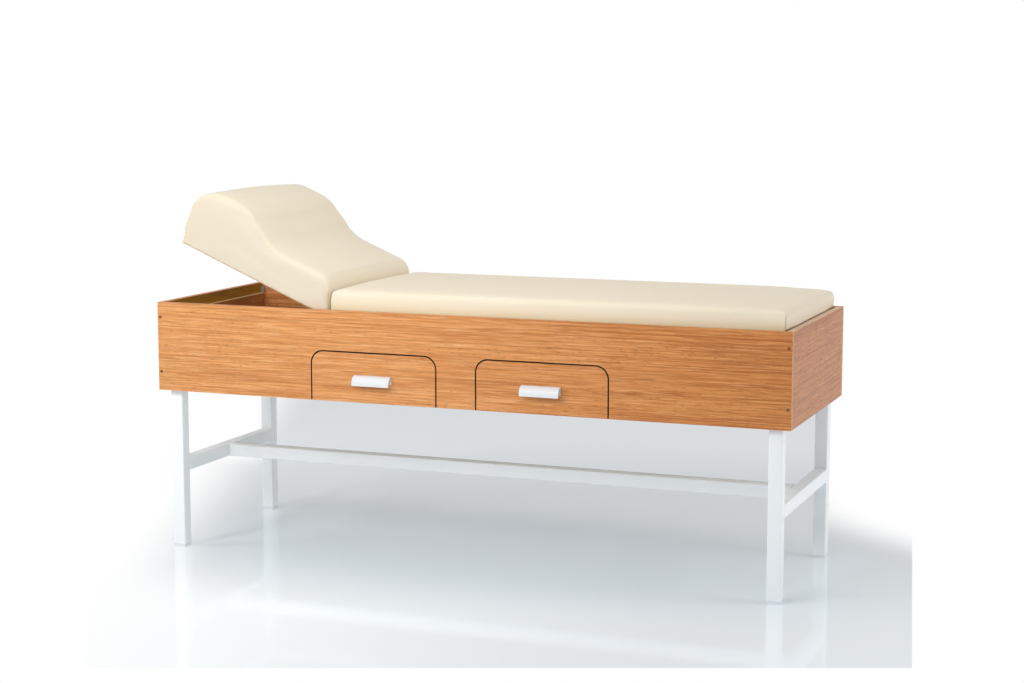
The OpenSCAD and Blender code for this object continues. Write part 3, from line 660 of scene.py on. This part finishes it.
def head_held(spots):
    """The underside lies flat on its board, and the skin gives less at the hinge end."""
    u, w = head_frame(spots)
    return rise(w, 0.014, 0.050) * (0.35 + 0.65 * rise(u, 0.02, 0.10))


def squared(out, limit, height, outwards):
    """Lower edges that a coarse skin leaves round are drawn out, or else down, until nearly square."""
    turn, power = 0.009, 7
    across, down = (out - (limit - turn)) / turn, (UNDERSIDE + turn - height) / turn
    edge = (across > 0) & (down > 0)
    p, q = np.clip(across[edge], 0, 1.1), np.clip(down[edge], 0, 1.1)
    grow = np.maximum(np.hypot(p, q) / (p ** power + q ** power) ** (1 / power), 1)
    if outwards:
        out = out.copy()
        out[edge] = limit - turn + turn * np.minimum(p * grow, 1)
        return out
    height = height.copy()
    height[edge] = UNDERSIDE + turn - turn * np.minimum(q * grow, 1)
    return height


def soft_edges(spots):
    """The bolster rolls softly into its sides, its crest leans to the hinge, and its skin wraps the board."""
    wide, high, soft = 0.070, 0.052, 2.1
    crest, end = 0.433, 0.5225
    u, w = head_frame(spots)
    y = spots[:, 1]
    marks = np.linspace(0.0, end + 0.01, 60)
    off = np.abs(y - MIDDLE_Y)
    flat = off < 0.20
    tops = np.array([w[flat & (np.abs(u - m) < 0.010)].max(initial=0.05) for m in marks])
    tops = np.convolve(np.pad(tops, 2, mode="edge"), np.ones(5) / 5, mode="valid")
    top = np.interp(u, marks, tops)
    share = 0.45 + 0.55 * rise(u, 0.12, 0.30)
    across = (off - (PAD_HALF - wide * share)) / (wide * share)
    up = (w - (top - high * share)) / (high * share)
    edge = (across > 0) & (up > 0)
    p, q = across[edge], up[edge]
    back = np.maximum((p ** soft + q ** soft) ** (1 / soft), 1)
    off[edge] = PAD_HALF - wide * share[edge] * (1 - p / back)
    w[edge] = top[edge] - high * share[edge] * (1 - q / back)
    lean = rise(w, 0.105, 0.140) * (1 - rise(u, crest - 0.03, crest + 0.02))
    u = u - 0.016 * lean + 0.005 * rise(u, crest, end) * rise(w, 0.016, 0.050)
    u = u - 0.011 * rise(w, 0.150, 0.172) * (1 - rise(u, crest - 0.03, crest + 0.02))
    w = w - 0.002 * rise(w, 0.10, 0.15)
    # under the board the skin is drawn up into it, all but a narrow border
    inside = rise(PAD_HALF - off, 0.004, 0.010) * rise(end + 0.005 - u, 0.004, 0.010) * rise(u, 0.012, 0.030)
    w = w + 0.005 * inside * (1 - rise(w, 0.003, 0.010))
    off = squared(off, PAD_HALF, w, True)
    w = squared(off, PAD_HALF, w, False)
    u = squared(u, end + 0.0004, w, True)
    y = MIDDLE_Y + np.sign(y - MIDDLE_Y) * off
    return np.stack((head_x(u, w), y, head_z(u, w)), axis=1)


vinyl_body = vinyl("vinyl_body", folded=True)
vinyl_head = vinyl("vinyl_head")
cushion("body_cushion", "body_pad", "cabinet", vinyl_body, swell=0.0025, held=body_held, shape=tight_edges)
cushion("head_cushion", "head_pad", "headrest", vinyl_head, swell=0.0014, held=head_held, shape=soft_edges,
        board="head_board")


# Small parts that repeat, grown by Geometry Nodes from spots or lines that carry the way they are turned

def enclose(form, rings):
    """Adds a closed shape to form from rings of points, one beside the other, with both ends capped."""
    rows = [[form.verts.new(point) for point in ring] for ring in rings]
    count = len(rows[0])
    for low, high in zip(rows, rows[1:]):
        for i in range(count):
            k = (i + 1) % count
            form.faces.new((low[i], low[k], high[k], high[i]))
    form.faces.new(rows[0][::-1])
    form.faces.new(rows[-1])


def mesh_of(name, form):
    mesh = bpy.data.meshes.new(name)
    form.to_mesh(mesh)
    form.free()
    return mesh


def stack(name, rings):
    form = bmesh.new()
    enclose(form, rings)
    return mesh_of(name, form)


def round_ring(radius, z, angles):
    return [(radius * math.cos(a), radius * math.sin(a), z) for a in angles]


def screw_shape():
    """Pan head with a cross recess, 1 in radius, its seat at height 0."""
    thin, far = 0.13, 0.46
    cross = [(far, thin), (thin, thin), (thin, far), (-thin, far), (-thin, thin), (-far, thin),
             (-far, -thin), (-thin, -thin), (-thin, -far), (thin, -far), (thin, -thin), (far, -thin)]
    angles = [math.atan2(b, a) for a, b in cross]
    turned = ((1, -0.1), (1, 0.16), (0.90, 0.36), (0.66, 0.48))
    rings = [round_ring(radius, z, angles) for radius, z in turned]
    rings += [[(a, b, z) for a, b in cross] for z in (0.50, 0.20)]
    return stack("screw_shape", rings)


def bead_shape():
    """One ripple of a weld, 1 in radius, flattened along the run, which is its x."""
    angles = [math.pi * i / 4 for i in range(8)]
    rings = []
    for lean in (-70, -35, 0, 35, 70):
        wide, up = math.cos(math.radians(lean)), math.sin(math.radians(lean))
        rings.append([(0.75 * x, y, up) for x, y, _ in round_ring(wide, 0, angles)])
    return stack("bead_shape", rings)


def staple_shape():
    """Crown of an upholstery staple, 1 long along x, rounded at its shoulders."""
    half, thick = 0.5, 0.055
    section = [(-thick, 0), (-thick, thick), (-thick / 2, thick * 1.6),
               (thick / 2, thick * 1.6), (thick, thick), (thick, 0)]
    run = [(-half, -0.08), (-half, thick * 0.3), (-half + 0.04, thick),
           (half - 0.04, thick), (half, thick * 0.3), (half, -0.08)]
    rings = []
    for place, drop in run:
        rings.append([(place, side, drop + up - thick) for side, up in section])
    return stack("staple_shape", [ring[::-1] for ring in rings])


def growing_tree(name, shape, material, by_line):
    """Sets a copy of shape on each spot, or at each Spacing along the lines, turned as the spot says."""
    tree = bpy.data.node_groups.new(name, "GeometryNodeTree")
    keys = {}
    tree.interface.new_socket("Geometry", in_out="INPUT", socket_type="NodeSocketGeometry")
    for size in ("Size", "Spacing", "Unevenness"):
        socket = tree.interface.new_socket(size, in_out="INPUT", socket_type="NodeSocketFloat")
        keys[size] = socket.identifier
    tree.interface.new_socket("Geometry", in_out="OUTPUT", socket_type="NodeSocketGeometry")
    g = Finish(tree)
    given = {out.name: Value(g, out) for out in g.add("NodeGroupInput").socket.node.outputs if out.name}
    spots = given["Geometry"]
    if by_line:
        curve = g.add("GeometryNodeMeshToCurve", None, {"Mesh": spots})
        spots = g.add("GeometryNodeResampleCurve", {"mode": "LENGTH"},
                      {"Curve": curve, "Length": given["Spacing"]})
    turned = g.add("GeometryNodeInputNamedAttribute", {"data_type": "FLOAT_VECTOR"}, {"Name": "turned"})
    chance = g.add("FunctionNodeRandomValue", {"data_type": "FLOAT"},
                   {"Min": -1.0, "Max": 1.0, "Seed": 7}, out=1)
    source = g.add("GeometryNodeObjectInfo", None, {"Object": shape}, out=4)
    size = given["Size"] * (1 + chance * given["Unevenness"] * 0.15)
    copies = g.add("GeometryNodeInstanceOnPoints", None,
                   {"Points": spots, "Instance": source, "Rotation": turned, "Scale": size})
    spin = g.vector(0.0, 0.0, chance * given["Unevenness"])
    copies = g.add("GeometryNodeRotateInstances", None, {"Instances": copies, "Rotation": spin})
    grown = g.add("GeometryNodeRealizeInstances", None, {"Geometry": copies})
    grown = g.add("GeometryNodeSetMaterial", None, {"Geometry": grown, "Material": material})
    g.add("NodeGroupOutput", None, {"Geometry": grown})
    return tree, keys


def grow(name, body, slot, material, mesh, spots, turns, size, spacing=0.0, unevenness=1.0):
    """Copies of mesh as one plain piece. spots are points, or pairs of them for lines; turns are angles."""
    shape = link(name + "_shape", mesh)
    lines = bool(spacing)
    seeds = bpy.data.meshes.new(name)
    if lines:
        points = [point for pair in spots for point in pair]
        seeds.from_pydata(points, [(i, i + 1) for i in range(0, len(points), 2)], [])
        turns = [turn for turn in turns for _ in range(2)]
    else:
        seeds.from_pydata(spots, [], [])
    turned = seeds.attributes.new("turned", "FLOAT_VECTOR", "POINT")
    turned.data.foreach_set("vector", [value for turn in turns for value in turn])
    thing = link(name, seeds)
    tree, keys = growing_tree(name + "_tree", shape, material, lines)
    growth = thing.modifiers.new("growth", "NODES")
    growth.node_group = tree
    growth[keys["Size"]] = float(size)
    growth[keys["Spacing"]] = float(spacing)
    growth[keys["Unevenness"]] = float(unevenness)
    settle(thing)
    bpy.data.objects.remove(shape)
    left = thing.data.attributes.get("turned")
    if left is not None:
        thing.data.attributes.remove(left)
    give(thing, body, material)


def turn_to(direction, run=None):
    """Angles that point a shape's z along direction, and its x along run where that is given."""
    up = Vector(direction).normalized()
    if run is None:
        return up.to_track_quat("Z", "Y").to_euler()
    first = Vector(run).normalized()
    side = up.cross(first)
    return Matrix((first, side, up)).transposed().to_euler()


def raised(u, y, w):
    """A point of the raised headrest, from its own frame."""
    return Vector((head_x(u, w), y, head_z(u, w)))


HEAD_DOWN = (-math.sin(TILT), 0, -math.cos(TILT))
screw_metal = zinc("zinc_head", (0.68, 0.69, 0.70), rough=0.28)

# frame: ripples of the welds, under the same powder coat
across_x, across_y, upright = (0, 0, 0), (0, 0, math.pi / 2), (0, math.pi / 2, 0)
half_run, bead = 0.0155, 0.0021
top_rail_low = span("top_rail_foot", "Z")[0]
(rail_low, rail_top), rail_middle = span("end_rail_foot", "Z"), middle("end_rail_foot", "Z")
tube_half = rail_top - rail_middle
leg_x, leg_ys = middle("leg_foot_rear", "X"), (middle("leg_foot_front", "Y"), middle("leg_foot_rear", "Y"))
leg_inner_x, leg_inner_ys = span("leg_foot_rear", "X")[0], span("end_rail_foot", "Y")
runs, ways = [], []
for x in (-leg_x, leg_x):
    for y in leg_inner_ys:
        for z in (rail_top, rail_low, top_rail_low):
            runs.append(((x - half_run, y, z), (x + half_run, y, z)))
            ways.append(across_x)
for x in (-leg_inner_x, leg_inner_x):
    for y in leg_ys:
        runs.append(((x, y - half_run, top_rail_low), (x, y + half_run, top_rail_low)))
        ways.append(across_y)
    for y in (MIDDLE_Y - tube_half, MIDDLE_Y + tube_half):
        runs.append(((x, y, rail_middle - half_run), (x, y, rail_middle + half_run)))
        ways.append(upright)
grow("weld_ripples", "cabinet", "white_steel", coat_white, bead_shape(), runs, ways,
     size=bead, spacing=bead, unevenness=0.6)

# cabinet: screws of the cleats, seen from inside
cleat_middle = middle("cleat_front", "Z")
inner_ys, inner_x = (span("cleat_front", "Y")[1], span("cleat_rear", "Y")[0]), span("cleat_foot", "X")[0]
spots, ways = [], []
for x in [-0.80 + 0.25 * i for i in range(7)]:
    for y, way in zip(inner_ys, (1, -1)):
        spots.append((x, y, cleat_middle))
        ways.append(turn_to((0, way, 0)))
for y in [-0.20 + 0.14 * i for i in range(4)]:
    for x, way in ((-inner_x, 1), (inner_x, -1)):
        spots.append((x, y, cleat_middle))
        ways.append(turn_to((way, 0, 0)))
grow("cleat_screws", "cabinet", "zinc_steel", screw_metal, screw_shape(), spots, ways, size=0.0035)

# hinge: a row of screws in each leaf
rows = [-0.252 + 0.0657 * i for i in range(9)]
leaf_x, leaf_z, leaf_u, leaf_w = -0.39935, 0.688, 0.0185, 0.00005
grow("hinge_screws_fixed", "cabinet", "zinc_steel", screw_metal, screw_shape(),
     [(leaf_x, y, leaf_z) for y in rows], [turn_to((-1, 0, 0))] * len(rows), size=0.0026)
grow("hinge_screws_moving", "headrest", "zinc_steel", screw_metal, screw_shape(),
     [raised(leaf_u, y, leaf_w) for y in rows], [turn_to(HEAD_DOWN)] * len(rows), size=0.0026)

# stay: two screws in the foot's plate
(start, end), plate_top = span("stay_foot", "X"), span("stay_foot", "Z")[0] + 0.0025
grow("stay_foot_screws", "cabinet", "zinc_steel", screw_metal, screw_shape(),
     [(x, MIDDLE_Y, plate_top) for x in (start + 0.005, end - 0.005)], [turn_to((0, 0, 1))] * 2,
     size=0.0027)

# drawers: screws through the box into each front
for i in (1, 2):
    centre, inner_face = middle(f"drawer_{i}_front", "X"), span(f"drawer_{i}_front", "Y")[1]
    spots = [(centre + dx, inner_face, z) for dx in (-0.13, 0.13) for z in (0.548, 0.585)]
    grow(f"drawer_{i}_screws", f"drawer_{i}", "zinc_steel", screw_metal, screw_shape(),
         spots, [turn_to((0, 1, 0))] * len(spots), size=0.0036)


# headrest: the vinyl is folded under its board and stapled there

def wrap_flap():
    """The vinyl's edge under the board, on its two sides and its head end, thin and a little uneven."""
    inner_u, outer_u, wide, inset, steps = 0.034, 0.5192, 0.038, 0.0005, 90
    near, far = span("head_board", "Y")[0] + inset, span("head_board", "Y")[1] - inset
    up = Vector((math.sin(TILT), 0, math.cos(TILT)))
    form = bmesh.new()

    def strip(outer, inner):
        rings = []
        for a, b in zip(outer, inner):
            ring = [a, a + (b - a) * 0.5, b]
            below = [point - up * t for point, t in zip(ring, (0.00022, 0.00022, 0.0007))]
            above = [point + up * 0.0002 for point in ring]
            rings.append(below + above[::-1])
        enclose(form, rings)

    def cut(t):
        """How unevenly the shears went."""
        return 0.0011 * math.sin(t * 61) + 0.0007 * math.sin(t * 173 + 1)

    us = [inner_u + (outer_u - inner_u) * k / steps for k in range(steps + 1)]
    for side_y, way in ((near, 1), (far, -1)):
        outer = [raised(u, side_y, UNDERSIDE) for u in us]
        inner = [raised(min(u, outer_u), side_y + way * (wide + cut(u + side_y)), UNDERSIDE) for u in us]
        strip(outer, inner)
    ys = [near + wide * 0.8 + (far - near - 1.6 * wide) * k / steps for k in range(steps + 1)]
    over = UNDERSIDE - 0.0003
    strip([raised(outer_u, y, over) for y in ys], [raised(outer_u - wide - cut(y), y, over) for y in ys])
    bmesh.ops.recalc_face_normals(form, faces=form.faces)
    give(link("head_wrap_flap", mesh_of("head_wrap_flap", form)), "headrest", vinyl_head)


wrap_flap()
along_u = raised(1, 0, 0) - raised(0, 0, 0)
on_flap, on_fold = UNDERSIDE - 0.0004, UNDERSIDE - 0.0008
lines = [(raised(0.045, y, on_flap), raised(0.480, y, on_flap)) for y in (-0.258, 0.280)]
ways = [turn_to(HEAD_DOWN, along_u)] * 2
lines.append((raised(0.492, -0.235, on_fold), raised(0.492, 0.257, on_fold)))
ways.append(turn_to(HEAD_DOWN, (0, 1, 0)))
grow("head_staples", "headrest", "zinc_steel", screw_metal, staple_shape(), lines, ways,
     size=0.0105, spacing=0.023, unevenness=0.35)


# Studio

def lamp(name, place, aim, size, energy, colour=(1, 1, 1), mirrored=True):
    data = bpy.data.lights.new(name, "AREA")
    data.shape = "RECTANGLE"
    data.size, data.size_y = size
    data.energy = energy
    data.color = colour
    thing = bpy.data.objects.new(name, data)
    scene.collection.objects.link(thing)
    thing.location = place
    thing.rotation_euler = (Vector(aim) - Vector(place)).to_track_quat("-Z", "Y").to_euler()
    thing.visible_camera = False
    thing.visible_glossy = mirrored


FILL = 0.60  # the studio is white to the eye and gives this share of that light
lamp("key_lamp", (-1.6, -2.1, 1.95), (-0.4, 0.0, 0.5), (0.45, 0.45), 12, (1.0, 0.99, 0.97), mirrored=False)
lamp("left_lamp", (-2.5, -1.0, 1.25), (-0.75, 0.2, 0.70), (0.5, 0.4), 6, (1.0, 0.99, 0.97), mirrored=False)
lamp("front_lamp", (-0.2, -1.75, 1.55), (-0.2, 0.0, 0.6), (1.3, 0.7), 13.5, (1.0, 0.995, 0.98))
lamp("top_lamp", (-0.1, 0.3, 3.1), (0.0, 0.0, 0.5), (3.2, 1.8), 16, (0.97, 0.99, 1.0))
lamp("right_lamp", (4.0, 0.3, 1.6), (0.9, 0.0, 0.7), (1.5, 1.5), 29, (1.0, 1.0, 1.0))

world = bpy.data.worlds.new("studio")
scene.world = world
world.use_nodes = True
w = Finish(world.node_tree)
# gloss meets a darker wall behind the bed, so that white legs show as pale streaks in the floor
_, behind, above = w.parts(w.add("ShaderNodeTexCoord", out="Generated"))
rear_wall = behind.between(0.3, 0.8) * above.between(0.185, 0.205) * (1 - above.between(0.36, 0.50))
sky = w.mix(seen_ray(w), (0.96, 0.985, 1.0), (1, 1, 1))
strength = (seen_ray(w, 0.4) * (1 - FILL) + FILL) * (1 - ray(w, "Glossy") * rear_wall * 0.45)
w.done(w.add("ShaderNodeBackground", None, {"Color": sky, "Strength": strength}), "ShaderNodeOutputWorld")


def floor():
    """A pale glossy sheet under the bed, which ends in the white of the studio."""
    mesh = bpy.data.meshes.new("studio_floor")
    reach = 9
    corners = [(-reach, -reach, 0), (reach, -reach, 0), (reach, reach, 0), (-reach, reach, 0)]
    mesh.from_pydata(corners, [], [(0, 1, 2, 3)])
    thing = link("studio_floor", mesh)
    material, f = finish_of("floor_pale")
    x, y, _ = f.parts(f.place())
    # the sheet lies along the direction of view: back and side are metres from a point under the rear edge,
    # and bearing counts the photograph's columns, along lines that meet where the photograph was taken
    yaw, focus, centre = math.radians(21.3), 1990.6, 512
    ahead = y - 0.5
    back = ahead * math.cos(yaw) - x * math.sin(yaw)
    side = x * math.cos(yaw) + ahead * math.sin(yaw)
    bearing = (side + 0.137) / (back * 0.991 + 6.346) * focus + centre
    near = -1 * back
    front_edge = near.between(1.622, 1.634)
    far_edge = back.between(2.3, 3.0)
    spread = near.between(0.6, 1.5)
    left_fade = (-1 * side).between(0.98 - spread * 0.78, 1.30 + spread * 0.18)
    left_edge = left_fade.most(1 - bearing.between(87.0, 89.0))
    right_edge = bearing.between(912.0, 913.4)
    behind_left = back.between(0.80, 1.15) * (1 - bearing.between(250, 277))
    past_leg = bearing.between(813, 830)
    behind_leg = back.between(0.60, 0.85) * past_leg
    behind_right = (side + (back + 0.95).between(0.0, 1.2) * 0.46).between(1.08, 1.44) * past_leg
    sheet_part = (1 - front_edge) * (1 - far_edge) * (1 - left_edge) * (1 - right_edge)
    fade = 1 - sheet_part * (1 - behind_right) * (1 - behind_left) * (1 - behind_leg)
    drift = f.noise(f.place(), 1.2, 3)
    tone = f.mix(drift, (0.920, 0.965, 0.995), (0.935, 0.975, 1.0))
    # painted shade: the sheet is darker towards the front, except on the right
    tone = f.mix(near.between(1.0, 1.48) * (1 - side.between(0.1, 0.9)), tone, (0.83, 0.87, 0.91))
    # painted shadow: the sheet is darker and bluer under the bed
    under = (x ** 2 * (1 / 1.20 ** 2) + (y + 0.05) ** 2 * (1 / 0.75 ** 2)) ** 0.5
    tone = f.mix((1 - under.between(0.35, 1.25)) * 0.70, tone, (0.787, 0.885, 0.965))
    ripple = f.noise(f.place(), 3.0, 2)
    sheet = f.surface(tone, 0.05 + drift * 0.02, f.bump(ripple, 0.002, 0.05), Specular_IOR_Level=0.6)
    white = f.add("ShaderNodeEmission", None, {"Color": (1, 1, 1, 1), "Strength": 1.0})
    f.done(f.add("ShaderNodeMixShader", None, {0: fade * seen_ray(f), 1: sheet, 2: white}))
    thing.data.materials.append(material)


floor()
